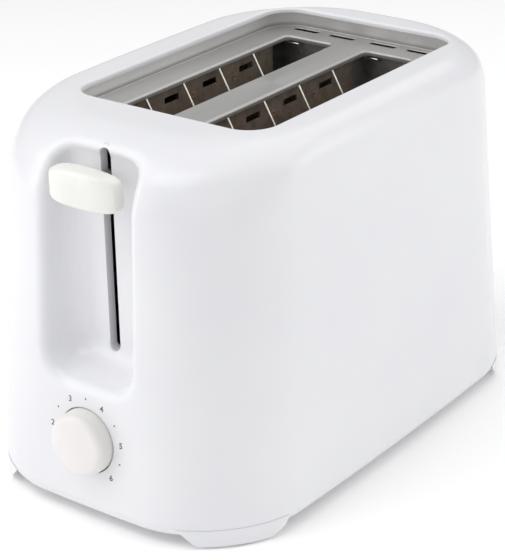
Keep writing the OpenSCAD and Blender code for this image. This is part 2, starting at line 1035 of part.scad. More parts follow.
module tray_handle() {
    low = 11.5;
    high = 23.5;
    color(shell_white)
        difference() {
            translate([0, 0, low])
                linear_extrude(high - low)
                    intersection() {
                        polygon(outline(high, 0.3));
                        translate([-49.6, tray_back])
                            square([99.2, 30]);
                    }
            // finger scoop under the handle
            box([-22, 129, low - 1], [22, 150, low + 4]);
        }
}

housing();
base_cover();
foot_pads();
top_plate();
cord_gland();
gland_nut();
base_screws();
chassis_front_plate();
chassis_rear_plate();
side_reflector_left();
side_reflector_right();
tray_rail_left();
tray_rail_right();
chassis_screws();
heater_board_left_outer();
heater_board_left_inner();
heater_board_right_inner();
heater_board_right_outer();
heater_ribbon_left_outer();
heater_ribbon_left_inner();
heater_ribbon_right_inner();
heater_ribbon_right_outer();
board_eyelets();
guard_left_outer();
guard_left_inner();
guard_right_inner();
guard_right_outer();
guide_rod();
rod_bracket_top();
rod_bracket_bottom();
return_spring();
carriage_block();
lever_arm();
rack_crossbar();
bread_rack_left();
bread_rack_right();
armature_plate();
contact_presser();
lever_knob();
magnet_core();
magnet_coil();
magnet_bracket();
contact_block();
contact_springs();
control_board();
board_components();
board_screws();
potentiometer();
dial_shaft();
dial_knob();
terminal_block();
lead_live();
lead_neutral();
crumb_tray();
tray_handle();
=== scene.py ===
import math

import bmesh
import bpy
import numpy as np
from mathutils import Matrix, Vector


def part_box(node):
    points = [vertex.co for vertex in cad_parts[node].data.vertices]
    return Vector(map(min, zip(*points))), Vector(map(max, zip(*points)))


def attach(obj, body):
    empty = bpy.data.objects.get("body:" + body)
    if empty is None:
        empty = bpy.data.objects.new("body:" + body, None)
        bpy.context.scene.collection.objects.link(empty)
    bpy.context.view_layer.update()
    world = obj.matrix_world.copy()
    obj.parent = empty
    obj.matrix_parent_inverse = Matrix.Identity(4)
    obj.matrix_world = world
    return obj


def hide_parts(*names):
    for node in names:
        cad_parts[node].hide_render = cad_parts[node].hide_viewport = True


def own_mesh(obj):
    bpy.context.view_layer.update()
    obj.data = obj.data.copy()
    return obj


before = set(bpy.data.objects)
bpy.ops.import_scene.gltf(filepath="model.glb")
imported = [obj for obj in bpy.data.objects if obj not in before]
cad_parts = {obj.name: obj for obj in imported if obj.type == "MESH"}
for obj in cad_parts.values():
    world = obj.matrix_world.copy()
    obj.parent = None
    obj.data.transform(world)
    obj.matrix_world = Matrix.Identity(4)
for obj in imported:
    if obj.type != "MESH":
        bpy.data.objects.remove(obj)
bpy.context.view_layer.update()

MM = 0.001
SHARP = 38  # edges that turn by more degrees than this stay sharp
WELD = 2e-6  # points closer than this, in metres, become one


def cad_box_mm(node):
    """Lowest and highest corner of a CAD node in millimetres."""
    low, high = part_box(node)
    return np.array(low) / MM, np.array(high) / MM


def round_node(node):
    """Height of the centre and radius of a CAD node that is round about an axis along Y."""
    low, high = cad_box_mm(node)
    return (low[2] + high[2]) / 2, (high[2] - low[2]) / 2


# ---------------------------------------------------------------- mesh helpers


def raw_mesh(name, verts, faces):
    """A mesh from millimetre vertices."""
    mesh = bpy.data.meshes.new(name)
    mesh.from_pydata((np.asarray(verts, float) * MM).tolist(), [], [list(map(int, f)) for f in faces])
    return mesh


def linked_object(name, data):
    obj = bpy.data.objects.new(name, data)
    bpy.context.scene.collection.objects.link(obj)
    return obj


def new_piece(name, verts, faces, material, body="body", slot=None, replaces=(), sharp=SHARP):
    """A mesh piece from millimetre vertices, riding on a CAD body."""
    mesh = raw_mesh(name, verts, faces)
    tidy_mesh(mesh, sharp)
    obj = linked_object(name, mesh)
    mesh.materials.append(material)
    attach(obj, body)
    if replaces:
        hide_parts(*replaces)
    return obj


def tidy_mesh(mesh, sharp):
    """Welds double points, turns the faces outward and smooths all but the sharp edges."""
    bm = bmesh.new()
    bm.from_mesh(mesh)
    bmesh.ops.remove_doubles(bm, verts=bm.verts, dist=WELD)
    bmesh.ops.recalc_face_normals(bm, faces=bm.faces)
    bm.to_mesh(mesh)
    bm.free()
    mesh.shade_smooth()
    mesh.set_sharp_from_angle(angle=math.radians(sharp))


def loft(rings, caps=(True, True), close=False):
    """Joins rings of the same number of points. close joins the last ring to the first one."""
    rings = [np.asarray(r, float) for r in rings]
    n = len(rings[0])
    faces = []
    steps = len(rings) if close else len(rings) - 1
    for i in range(steps):
        a, b = i * n, ((i + 1) % len(rings)) * n
        for j in range(n):
            k = (j + 1) % n
            faces.append((a + j, a + k, b + k, b + j))
    if not close and caps[0]:
        faces.append(tuple(range(n - 1, -1, -1)))
    if not close and caps[1]:
        last = (len(rings) - 1) * n
        faces.append(tuple(range(last, last + n)))
    return np.concatenate(rings), faces


def join(*parts):
    """Several (verts, faces) as one."""
    verts, faces, start = [], [], 0
    for v, f in parts:
        v = np.asarray(v, float)
        verts.append(v)
        faces += [tuple(i + start for i in face) for face in f]
        start += len(v)
    return np.concatenate(verts), faces


def rounded_path(x0, x1, y0, y1, r, offset=0.0, n=8):
    """Points round a rectangle with corner radius r, grown by offset, counterclockwise."""
    r = r + offset
    x0, x1, y0, y1 = x0 - offset, x1 + offset, y0 - offset, y1 + offset
    points = []
    for cx, cy, start in (
        (x1 - r, y1 - r, 0),
        (x0 + r, y1 - r, 90),
        (x0 + r, y0 + r, 180),
        (x1 - r, y0 + r, 270),
    ):
        for i in range(n + 1):
            a = math.radians(start + 90 * i / n)
            points.append((cx + r * math.cos(a), cy + r * math.sin(a)))
    return np.array(points)


def circle_path(cx, cy, r, offset=0.0, n=64):
    """Points round a circle grown by offset."""
    a = np.linspace(0, 2 * np.pi, n, endpoint=False)
    return np.stack([cx + (r + offset) * np.cos(a), cy + (r + offset) * np.sin(a)], 1)


def at_z(path, z):
    """(x, y) points at height z, a number or one for each."""
    return np.column_stack([path, np.full(len(path), z) if np.isscalar(z) else z])


def at_y(path, y):
    """(x, z) points at y, a number or one for each."""
    return np.column_stack([path[:, 0], np.full(len(path), y) if np.isscalar(y) else y, path[:, 1]])


def lathe(profile, centre, axis="y", n=96):
    """Rings of the (radius, along) pairs of a profile turned round an axis through centre."""
    a = np.linspace(0, 2 * np.pi, n, endpoint=False)
    rings = []
    for r, t in profile:
        c, s = r * np.cos(a), r * np.sin(a)
        if axis == "y":
            ring = np.column_stack([c, np.full(n, t), s])
        else:
            ring = np.column_stack([c, s, np.full(n, t)])
        rings.append(ring + np.array(centre, float))
    return rings


def arc(cx, cy, r, a0, a1, n):
    """(x, y) points on an arc, angles in degrees."""
    return [
        (cx + r * math.cos(math.radians(a)), cy + r * math.sin(math.radians(a)))
        for a in np.linspace(a0, a1, n)
    ]


def bake_modifiers(obj, sharp):
    """Replaces the mesh by its modified form."""
    bpy.context.view_layer.update()
    evaluated = obj.evaluated_get(bpy.context.evaluated_depsgraph_get())
    mesh = bpy.data.meshes.new_from_object(evaluated)
    obj.modifiers.clear()
    obj.data = mesh
    tidy_mesh(mesh, sharp)


def combine(obj, others, operation, sharp=SHARP):
    """Boolean of obj with closed (verts, faces) solids."""
    tools = []
    for verts, faces in others:
        mesh = raw_mesh("tool", verts, faces)
        bm = bmesh.new()
        bm.from_mesh(mesh)
        bmesh.ops.recalc_face_normals(bm, faces=bm.faces)
        bm.to_mesh(mesh)
        bm.free()
        tool = linked_object("tool", mesh)
        tools.append(tool)
        modifier = obj.modifiers.new("cut", "BOOLEAN")
        modifier.operation = operation
        modifier.solver = "MANIFOLD"
        modifier.object = tool
    bake_modifiers(obj, sharp)
    for tool in tools:
        bpy.data.objects.remove(tool)


def steady_normals(obj):
    """Flat faces keep their own shading beside small rounded ones."""
    modifier = obj.modifiers.new("normals", "WEIGHTED_NORMAL")
    modifier.keep_sharp = True
    modifier.weight = 60  # per cent; over 50 favours the larger faces


BEVEL_FROM = 40  # degrees


def soften(obj, width):
    """Small rounded edges of width millimetres on a CAD node, from modifiers alone."""
    weld = obj.modifiers.new("weld", "WELD")
    weld.merge_threshold = WELD
    bevel = obj.modifiers.new("bevel", "BEVEL")
    bevel.width = width * MM
    bevel.segments = 2
    bevel.limit_method = "ANGLE"
    bevel.angle_limit = math.radians(BEVEL_FROM)
    bevel.use_clamp_overlap = True
    steady_normals(obj)


# ---------------------------------------------------------------- materials


def set_inputs(node, values):
    for socket, value in values.items():
        node.inputs[socket].default_value = value


def ramp(nodes, low, high):
    """A colour ramp over the part of a noise's range that it mostly takes."""
    node = nodes.new("ShaderNodeValToRGB")
    for element, position, colour in zip(node.color_ramp.elements, (0.3, 0.7), (low, high)):
        element.position = position
        element.color = (*colour, 1)
    return node


def noise(nodes, links, source, scale, detail, rough, stretch):
    """Noise of scale per metre, with source multiplied by stretch first."""
    mapping = nodes.new("ShaderNodeMapping")
    mapping.inputs["Scale"].default_value = stretch
    links.new(source, mapping.inputs["Vector"])
    node = nodes.new("ShaderNodeTexNoise")
    set_inputs(node, {"Scale": scale, "Detail": detail, "Roughness": rough})
    links.new(mapping.outputs["Vector"], node.inputs["Vector"])
    return node


def remap(nodes, links, value, low, high, from_low=0.25, from_high=0.75):
    """Takes value from one range to another and clamps it there."""
    node = nodes.new("ShaderNodeMapRange")
    set_inputs(node, {"From Min": from_low, "From Max": from_high, "To Min": low, "To Max": high})
    links.new(value, node.inputs["Value"])
    return node.outputs["Result"]


def mixed(nodes, links, share, colour, other, blend_type="MIX"):
    """A colour output with a share of another colour mixed or multiplied in."""
    node = nodes.new("ShaderNodeMix")
    node.data_type = "RGBA"
    node.blend_type = blend_type
    links.new(share, node.inputs["Factor"])
    links.new(colour, node.inputs["A"])
    node.inputs["B"].default_value = (*other, 1)
    return node.outputs["Result"]


def make_material(
    name, low, high, rough, metallic=0.0, scale=300.0, stretch=(1, 1, 1), grain=2500.0,
    grain_stretch=None, bump=0.02, bump_depth=0.02, detail=3.0, specular=0.5, coat=0.0,
    anisotropy=0.0, specks=None, glow=0.0, painted_shades=(),
):
    """A Principled material: the colour drifts over one noise, roughness and relief follow a finer one.

    scale and grain are per metre, bump_depth is in millimetres, rough is (smoothest, roughest).
    specks is (colour, cells per metre, share). Each painted shade is (tint, axis, start, end) in
    millimetres: the colour is multiplied by the tint more and more from start to end, painting shade
    into it."""
    material = bpy.data.materials.new(name)
    material.use_nodes = True
    nodes, links = material.node_tree.nodes, material.node_tree.links
    shader = nodes["Principled BSDF"]
    place = nodes.new("ShaderNodeTexCoord").outputs["Object"]
    drift = noise(nodes, links, place, scale, detail, 0.55, stretch)
    colour = ramp(nodes, low, high)
    links.new(drift.outputs["Fac"], colour.inputs["Fac"])
    colour_out = colour.outputs["Color"]
    fine = noise(nodes, links, place, grain, 4.0, 0.6, grain_stretch or stretch)
    if specks:
        speck_colour, cells, share = specks
        spots = nodes.new("ShaderNodeTexVoronoi")
        spots.inputs["Scale"].default_value = cells
        links.new(place, spots.inputs["Vector"])
        mask = remap(nodes, links, spots.outputs["Distance"], 1.0, 0.0, share * 0.5, share)
        colour_out = mixed(nodes, links, mask, colour_out, speck_colour)
    # painted shade: each tint darkens the colour along one axis of the object
    for tint, axis, start, end in painted_shades:
        split = nodes.new("ShaderNodeSeparateXYZ")
        links.new(place, split.inputs["Vector"])
        shares = (0.0, 1.0) if start < end else (1.0, 0.0)
        from_mm, to_mm = sorted((start, end))
        share = remap(nodes, links, split.outputs[axis], *shares, from_mm * MM, to_mm * MM)
        colour_out = mixed(nodes, links, share, colour_out, tint, "MULTIPLY")
    links.new(colour_out, shader.inputs["Base Color"])
    links.new(remap(nodes, links, fine.outputs["Fac"], *rough), shader.inputs["Roughness"])
    relief = nodes.new("ShaderNodeBump")
    set_inputs(relief, {"Strength": bump, "Distance": bump_depth * MM})
    links.new(fine.outputs["Fac"], relief.inputs["Height"])
    links.new(relief.outputs["Normal"], shader.inputs["Normal"])
    set_inputs(shader, {
        "Metallic": metallic, "Specular IOR Level": specular, "Anisotropic": anisotropy,
        "Coat Weight": coat, "Coat Roughness": 0.04,
        "Emission Color": (1, 1, 1, 1), "Emission Strength": glow,
    })
    return material


MAT = {
    "shell": make_material(
        "shell_plastic", (0.765, 0.767, 0.796), (0.792, 0.794, 0.817), (0.2, 0.27),
        scale=14, grain=900, bump=0.05, bump_depth=0.01, coat=0.06,
    ),
    "knob": make_material(
        "lever_plastic", (0.78, 0.775, 0.74), (0.82, 0.815, 0.78), (0.26, 0.32),
        scale=40, grain=900, bump=0.03, bump_depth=0.004,
    ),
    "dial": make_material(
        "dial_plastic", (0.77, 0.745, 0.735), (0.81, 0.785, 0.775), (0.26, 0.34),
        scale=50, grain=900, bump=0.03, bump_depth=0.004,
    ),
    "ink": make_material(
        "dial_ink", (0.1, 0.1, 0.105), (0.15, 0.15, 0.155), (0.45, 0.6),
        scale=900, grain=5000, bump=0.1, bump_depth=0.005,
    ),
    "plate": make_material(
        "satin_steel", (0.71, 0.705, 0.695), (0.78, 0.775, 0.765), (0.5, 0.6), metallic=1,
        scale=60, stretch=(1, 0.05, 1), grain=2600, grain_stretch=(1, 0.03, 1),
        bump=0.12, bump_depth=0.01, anisotropy=0.3,
        # painted shade: the flat and groove darker than the wall above 172.6 mm, and the sheet darker
        # towards the far wall at the back
        painted_shades=(((0.71, 0.71, 0.71), "Z", 172.6, 170.9), ((0.88, 0.875, 0.87), "Y", 0, 95)),
    ),
    "bright": make_material(
        "bright_steel", (0.62, 0.62, 0.62), (0.72, 0.72, 0.71), (0.2, 0.34), metallic=1,
        scale=300, grain=3000, bump=0.1, bump_depth=0.01,
    ),
    "galvanised": make_material(
        "galvanised_sheet", (0.42, 0.43, 0.44), (0.56, 0.57, 0.58), (0.34, 0.52), metallic=1,
        scale=180, grain=900, bump=0.1, bump_depth=0.02, detail=1.0,
        specks=((0.62, 0.63, 0.64), 320, 0.35),
    ),
    "zinc": make_material(
        "zinc_plate", (0.5, 0.5, 0.49), (0.62, 0.62, 0.6), (0.28, 0.42), metallic=1,
        scale=420, grain=3200, bump=0.1, bump_depth=0.01,
    ),
    "mica": make_material(
        "mica_sheet", (0.16, 0.125, 0.095), (0.27, 0.215, 0.165), (0.4, 0.62),
        scale=220, stretch=(1, 1, 0.7), grain=1500, bump=0.25, bump_depth=0.05, detail=6,
        specks=((0.36, 0.3, 0.24), 520, 0.22),
    ),
    "nichrome": make_material(
        "nichrome_ribbon", (0.3, 0.27, 0.23), (0.42, 0.38, 0.33), (0.3, 0.45), metallic=1,
        scale=250, grain=4000, bump=0.1, bump_depth=0.01,
    ),
    "guard": make_material(
        "guard_wire", (0.74, 0.71, 0.62), (0.86, 0.83, 0.75), (0.2, 0.32), metallic=1,
        scale=200, grain=4500, bump=0.12, bump_depth=0.01,
    ),
    "eyelet": make_material(
        "copper_eyelet", (0.5, 0.34, 0.25), (0.66, 0.47, 0.36), (0.26, 0.4), metallic=0.6,
        scale=600, grain=4500, bump=0.1, bump_depth=0.01,
    ),
    "phenolic": make_material(
        "phenolic_moulding", (0.045, 0.028, 0.02), (0.08, 0.05, 0.036), (0.35, 0.5),
        scale=500, grain=2200, bump=0.15, bump_depth=0.02,
        specks=((0.13, 0.09, 0.06), 900, 0.16),
    ),
    "copper": make_material(
        "copper_winding", (0.5, 0.24, 0.12), (0.72, 0.38, 0.2), (0.25, 0.4), metallic=1,
        scale=500, stretch=(0.05, 0.05, 6), grain=2500, grain_stretch=(0.05, 0.05, 1),
        bump=0.5, bump_depth=0.12,
    ),
    "brass": make_material(
        "contact_brass", (0.6, 0.46, 0.2), (0.72, 0.58, 0.28), (0.2, 0.34), metallic=1,
        scale=400, grain=3500, bump=0.1, bump_depth=0.01,
    ),
    "board": make_material(
        "board_laminate", (0.012, 0.075, 0.035), (0.02, 0.12, 0.055), (0.3, 0.42),
        scale=700, grain=2600, bump=0.15, bump_depth=0.02,
        specks=((0.35, 0.36, 0.34), 260, 0.12),
    ),
    "rubber": make_material(
        "rubber_grey", (0.05, 0.05, 0.052), (0.085, 0.085, 0.088), (0.6, 0.8),
        scale=600, grain=2600, bump=0.3, bump_depth=0.04, specular=0.3,
    ),
    "gland": make_material(
        "gland_plastic", (0.3, 0.3, 0.31), (0.37, 0.37, 0.38), (0.4, 0.55),
        scale=300, grain=2400, bump=0.2, bump_depth=0.02,
    ),
    "ceramic": make_material(
        "terminal_ceramic", (0.66, 0.65, 0.6), (0.76, 0.75, 0.7), (0.3, 0.5),
        scale=500, grain=2400, bump=0.2, bump_depth=0.02,
        specks=((0.5, 0.48, 0.43), 700, 0.12),
    ),
    "lead_brown": make_material(
        "lead_brown_sleeve", (0.12, 0.055, 0.03), (0.18, 0.085, 0.045), (0.35, 0.5),
        scale=400, grain=3000, bump=0.15, bump_depth=0.02,
    ),
    "lead_blue": make_material(
        "lead_blue_sleeve", (0.035, 0.08, 0.28), (0.055, 0.12, 0.38), (0.35, 0.5),
        scale=400, grain=3000, bump=0.15, bump_depth=0.02,
    ),
    "floor": make_material(
        "floor_paper", (0.955, 0.955, 0.955), (0.965, 0.965, 0.965), (0.7, 0.85),
        scale=3, grain=60, bump=0.01, bump_depth=0.05, specular=0.1, glow=0.1,
    ),
}

# ---------------------------------------------------------------- shell form

# Lengths are in millimetres from here on. -Y is the front, +X the right and +Z up.

HOUSING_LOW, HOUSING_HIGH = cad_box_mm("housing")
TOP = HOUSING_HIGH[2]
SKIRT = HOUSING_LOW[2]
# Reach of a face at the skirt, where it starts to round over and at the top, that height, a power
SIDE = (80.9, 73.5, 61.0, 166.4, 2.35)
FRONT = (132.4, 123.9, 88.0, 148.3, 2.0)
BACK = (132.4, 122.5, 102.5, 157.1, 1.75)
PLAN_R = 51.8  # corner radius in plan
CROWN = 3.2  # how far a face bows out at its middle
TUCK_H = 7.0  # height of the tucked lower edge
TUCK_IN = 5.0
WELL_X, WELL_FRONT, WELL_BACK, WELL_R = 53.5, -72.6, 94.6, 14.0  # the top opening
FLAT_X = WELL_X - WELL_R
SHELL_T = 1.8
RIM_R = 1.4  # rounded edge of the top opening
RIM_INNER_Z = 177.5
RIM_STEPS = 8


def taper(z, low, mid, top, z1, power):
    """Reach of a face at height z: a straight draft up to z1, then rounding over to the top."""
    z = np.asarray(z, float)
    straight = low + (mid - low) * (z - SKIRT) / (z1 - SKIRT)
    u = np.clip((z - z1) / (TOP - z1), 0, 1)
    rounded = top + (mid - top) * np.maximum(0, 1 - u**power) ** (1 / power)
    return np.where(z <= z1, straight, rounded)


def tuck(z):
    """How far the lower edge is drawn in at height z."""
    u = np.clip((SKIRT + TUCK_H - np.asarray(z, float)) / TUCK_H, 0, 1)
    return TUCK_IN * (1 - np.sqrt(1 - u * u))


def shell_field(x, y, z):
    """Signed distance to the shell's outside in the plane at height z; negative inside."""
    d = tuck(z)
    hx = taper(z, *SIDE) - d
    hy = np.where(np.asarray(y) > 0, taper(z, *BACK), taper(z, *FRONT)) - d
    r = PLAN_R - d
    ax, ay = np.abs(x), np.abs(y)
    qx, qy = ax - (hx - r), ay - (hy - r)
    corner = (qx > 0) & (qy > 0)
    length = np.maximum(np.hypot(qx, qy), 1e-9)
    sideways = qx > qy
    nx = np.where(corner, qx / length, np.where(sideways, 1.0, 0.0))
    ny = np.where(corner, qy / length, np.where(sideways, 0.0, 1.0))
    px = np.where(corner, hx - r + r * nx, np.where(sideways, hx, ax))
    py = np.where(corner, hy - r + r * ny, np.where(sideways, ay, hy))
    distance = np.where(corner, length, np.maximum(qx, qy)) - r
    bulge = CROWN * (ny**2 * (1 - (px / hx) ** 2) + nx**2 * (1 - (py / hy) ** 2))
    return distance - bulge


def rect_field(x, z, half, z0, z1, r):
    """Signed distance to a rounded rectangle centred on x = 0."""
    qx = np.abs(x) - (half - r)
    qz = np.abs(z - (z0 + z1) / 2) - ((z1 - z0) / 2 - r)
    outside = np.hypot(np.maximum(qx, 0), np.maximum(qz, 0))
    return outside + np.minimum(np.maximum(qx, qz), 0) - r


def blend_max(a, b, k):
    """Maximum of two fields with its corner rounded."""
    h = np.maximum(k - np.abs(a - b), 0) / k
    return np.maximum(a, b) + h * h * k / 4


# The lever channel: half width, lower end, upper end and corner radius at its mouth and its floor
CHANNEL_MOUTH = -150.0
CHANNEL_FLOOR = -110.3
CHANNEL_HALF = (28.5, 22.5)
CHANNEL_Z0 = (60.0, 74.0)
CHANNEL_Z1 = (184.0, 177.0)
CHANNEL_R = (17.0, 12.0)
CHANNEL_RIM = 4.8  # rounding of its outer edge
CHANNEL_CORE = 9.0  # rounding where its walls meet its floor
CHANNEL_FROM = 50  # it is above this height
WALL_SLOPE = 0.97  # about the cosine of its walls' lean


def channel_field(x, y, z):
    """Signed distance to the lever channel; negative in it."""
    t = np.clip((y - CHANNEL_MOUTH) / (CHANNEL_FLOOR - CHANNEL_MOUTH), -0.2, 1.15)

    def between(pair):
        return pair[0] + (pair[1] - pair[0]) * t

    walls = rect_field(
        x, z, between(CHANNEL_HALF), between(CHANNEL_Z0), between(CHANNEL_Z1), between(CHANNEL_R)
    )
    return blend_max(WALL_SLOPE * walls, y - CHANNEL_FLOOR, CHANNEL_CORE)


def body_field(x, y, z):
    """Signed distance to the shell with its channel."""
    return blend_max(shell_field(x, y, z), -channel_field(x, y, z), CHANNEL_RIM)


def solve(field, u, v, outside, inside):
    """The third coordinate where field, given u, v and it, goes from positive to negative."""
    u, v = np.broadcast_arrays(np.asarray(u, float), np.asarray(v, float))
    a, b = np.full(u.shape, float(outside)), np.full(u.shape, float(inside))
    for _ in range(34):
        mid = (a + b) / 2
        positive = field(u, v, mid) > 0
        a = np.where(positive, mid, a)
        b = np.where(positive, b, mid)
    return (a + b) / 2


def front_y(x, z, field=shell_field):
    """Where the front of the shell is, over points in the XZ plane."""
    return solve(lambda x, z, y: field(x, y, z), x, z, -160, -50)


def back_y(x, z):
    """Where the back of the shell is, over points in the XZ plane."""
    return solve(lambda x, z, y: shell_field(x, y, z), x, z, 160, 50)


def roof_z(x, y):
    """Height of the shell's top over points in the XY plane."""
    return solve(shell_field, x, y, TOP, 120)


# Columns of half a ring: x of those on the front, close together over the channel's wall, then how
# many there are round the front corner, along the side, round the rear corner and along the back
FRONT_X = np.concatenate(
    [np.linspace(0, 18, 15), np.linspace(18, 30, 49)[1:], np.linspace(30, FLAT_X, 9)[1:]]
)
CORNER_N, SIDE_N, REAR_N, BACK_N = 26, 22, 26, 14


def half_level(z):
    """Half of the shell's outline at height z, from the front's middle to the back's middle."""
    d = float(tuck(z))
    hx = float(taper(z, *SIDE)) - d
    hf = float(taper(z, *FRONT)) - d
    hb = float(taper(z, *BACK)) - d
    r = PLAN_R - d

    def pushed(px, py, nx, ny):
        hy = hb if py > 0 else hf
        out = CROWN * (ny * ny * (1 - (px / hx) ** 2) + nx * nx * (1 - (py / hy) ** 2))
        return (px + nx * out, py + ny * out)

    def corner_point(a, sign):
        nx, ny = math.sin(a), sign * math.cos(a)
        edge = hf if sign < 0 else hb
        return pushed(hx - r + r * nx, sign * (edge - r) + r * ny, nx, ny)

    points = [(x, float(y)) for x, y in zip(FRONT_X, front_y(FRONT_X, z))]
    low, high = 0.0, math.pi / 2
    for _ in range(40):
        mid = (low + high) / 2
        if corner_point(mid, -1)[0] < FLAT_X:
            low = mid
        else:
            high = mid
    for i in range(1, CORNER_N + 1):
        points.append(corner_point(low + (math.pi / 2 - low) * i / CORNER_N, -1))
    y0, y1 = -(hf - r), hb - r
    for i in range(1, SIDE_N):
        points.append(pushed(hx, y0 + (y1 - y0) * i / SIDE_N, 1, 0))
    for i in range(REAR_N + 1):
        points.append(corner_point(math.pi / 2 * (1 - i / REAR_N), 1))
    for i in range(1, BACK_N + 1):
        points.append(pushed((hx - r) * (1 - i / BACK_N), hb, 0, 1))
    return np.array(points)


def half_well(offset):
    """Half of the top opening's outline grown by offset, with the columns of half_level."""
    r = WELL_R + offset
    cy0, cy1 = WELL_FRONT + WELL_R, WELL_BACK - WELL_R
    points = [(x, WELL_FRONT - offset) for x in FRONT_X]
    for i in range(1, CORNER_N + 1):
        a = math.pi / 2 * i / CORNER_N
        points.append((FLAT_X + r * math.sin(a), cy0 - r * math.cos(a)))
    for i in range(1, SIDE_N):
        points.append((WELL_X + offset, cy0 + (cy1 - cy0) * i / SIDE_N))
    for i in range(REAR_N + 1):
        a = math.pi / 2 * (1 - i / REAR_N)
        points.append((FLAT_X + r * math.sin(a), cy1 + r * math.cos(a)))
    for i in range(1, BACK_N + 1):
        points.append((FLAT_X * (1 - i / BACK_N), WELL_BACK + offset))
    return np.array(points)


def whole(half):
    """A full ring from half of one: the right half, then the left half back to the front."""
    left = half[-2:0:-1].copy()
    left[:, 0] *= -1
    return np.concatenate([half, left])


def fillet_rings(r, start=0, steps=6):
    """(offset, depth) pairs over a rounded edge of radius r, from the surface into the hole."""
    pairs = []
    for i in range(start, steps + 1):
        a = math.pi / 2 * i / steps
        pairs.append((r * (1 - math.sin(a)), r * (1 - math.cos(a))))
    return pairs


HOLE_LEAD = 25  # how far a cutting tool starts outside the face


def hole_tool(path, surface, r, depth, sign):
    """Solid that cuts a hole with a rounded mouth into a face that looks along sign * -Y."""
    pairs = fillet_rings(r, 1) + [(0, depth)]
    mouth = path(pairs[0][0])
    rings = [at_y(mouth, surface(mouth) - sign * HOLE_LEAD)]
    for offset, deep in pairs:
        p = path(offset)
        rings.append(at_y(p, surface(p) + sign * deep))
    return loft(rings)


def shell_levels():
    """Heights of the rings, close together at the tuck, the channel's lower end and the top."""
    round_from = FRONT[3]
    return np.concatenate(
        [
            SKIRT + TUCK_H * (1 - np.cos(np.linspace(0, math.pi / 2, 10))),
            np.linspace(12, 60, 15)[1:],
            np.linspace(60, 82, 50)[1:],
            np.linspace(82, round_from, 34)[1:],
            round_from + (TOP - round_from) * np.sin(np.linspace(0, math.radians(70.5), 56))[1:],
        ]
    )


def shell_rings():
    """Rings up the outside of the shell, over its top and into the top opening."""
    rings = []
    for z in shell_levels():
        ring = at_z(whole(half_level(z)), float(z))
        near = (ring[:, 1] < 0) & (np.abs(ring[:, 0]) <= FLAT_X + 1e-6) & (z > CHANNEL_FROM)
        if near.any():
            ring[near, 1] = front_y(ring[near, 0], ring[near, 2], body_field)
        rings.append(ring)
    last = rings[-1][:, :2]
    inner = whole(half_well(RIM_R))
    for t in np.linspace(0, 1, 11)[1:-1] ** 0.85:
        xy = last * (1 - t) + inner * t
        rings.append(at_z(xy, roof_z(xy[:, 0], xy[:, 1])))
    for offset, drop in fillet_rings(RIM_R, 0, RIM_STEPS):
        xy = whole(half_well(offset))
        rings.append(at_z(xy, roof_z(xy[:, 0], xy[:, 1]) - drop))
    rings.append(at_z(whole(half_well(0)), RIM_INNER_Z))
    return rings


ARM_SLOT_HALF, ARM_SLOT_Z = 2.9, (77.1, 174.0)  # the slot that the lever's arm rides in
COLLAR_T = 2.0  # the collar round it, behind the channel's floor
COLLAR_Y = (CHANNEL_FLOOR + 1, CHANNEL_FLOOR + 4.5)
DIAL_GAP = 0.3
TRAY_X, TRAY_Z, TRAY_R = 50.2, (10.8, 24.2), 1.4  # the opening for the crumb tray
GLAND_HOLE_R = 6.8
HOLE_DEPTH = 14


def arm_slot_path(offset, n):
    half, (z0, z1) = ARM_SLOT_HALF, ARM_SLOT_Z
    return rounded_path(-half, half, z0, z1, half - 0.01, offset, n)


def build_housing():
    obj = new_piece(
        "housing_shell", *loft(shell_rings(), caps=(False, False)), MAT["shell"],
        slot="shell_white", replaces=["housing"],
    )
    solid = obj.modifiers.new("wall", "SOLIDIFY")
    solid.thickness = SHELL_T * MM
    solid.offset = -1
    solid.use_even_offset = False
    bake_modifiers(obj, SHARP)
    collar = arm_slot_path(COLLAR_T, 12)
    combine(obj, [loft([at_y(collar, y) for y in COLLAR_Y])], "UNION")

    dial_z, dial_r = round_node("dial_knob")
    gland_z, _ = round_node("cord_gland")

    def channel_y(p):
        return front_y(p[:, 0], p[:, 1], body_field)

    def face_y(p):
        return front_y(p[:, 0], p[:, 1])

    def rear_y(p):
        return back_y(p[:, 0], p[:, 1])

    def dial_path(offset):
        return circle_path(0, dial_z, dial_r + DIAL_GAP, offset, 96)

    def tray_path(offset):
        return rounded_path(-TRAY_X, TRAY_X, *TRAY_Z, TRAY_R, offset, 6)

    def gland_path(offset):
        return circle_path(0, gland_z, GLAND_HOLE_R, offset, 64)

    tools = [
        hole_tool(lambda offset: arm_slot_path(offset, 10), channel_y, 0.7, 12, 1),
        hole_tool(dial_path, face_y, 0.3, HOLE_DEPTH, 1),
        hole_tool(tray_path, rear_y, 0.5, HOLE_DEPTH, -1),
        hole_tool(gland_path, rear_y, 0.3, HOLE_DEPTH, -1),
    ]
    combine(obj, tools, "DIFFERENCE")
    steady_normals(obj)


build_housing()

# ---------------------------------------------------------------- base


def outline_at(z, inset):
    """The shell's outline at height z drawn in by inset, as many points."""
    ring = whole(half_level(z))
    ahead = np.roll(ring, -1, 0) - np.roll(ring, 1, 0)
    normal = np.column_stack([ahead[:, 1], -ahead[:, 0]])
    normal /= np.maximum(np.linalg.norm(normal, axis=1, keepdims=True), 1e-9)
    return ring - normal * inset


def resample(points, n):
    """n points evenly along a line of points."""
    step = np.r_[0, np.cumsum(np.linalg.norm(np.diff(points, axis=0), axis=1))]
    t = np.linspace(0, step[-1], n)
    return np.column_stack([np.interp(t, step, points[:, k]) for k in range(points.shape[1])])


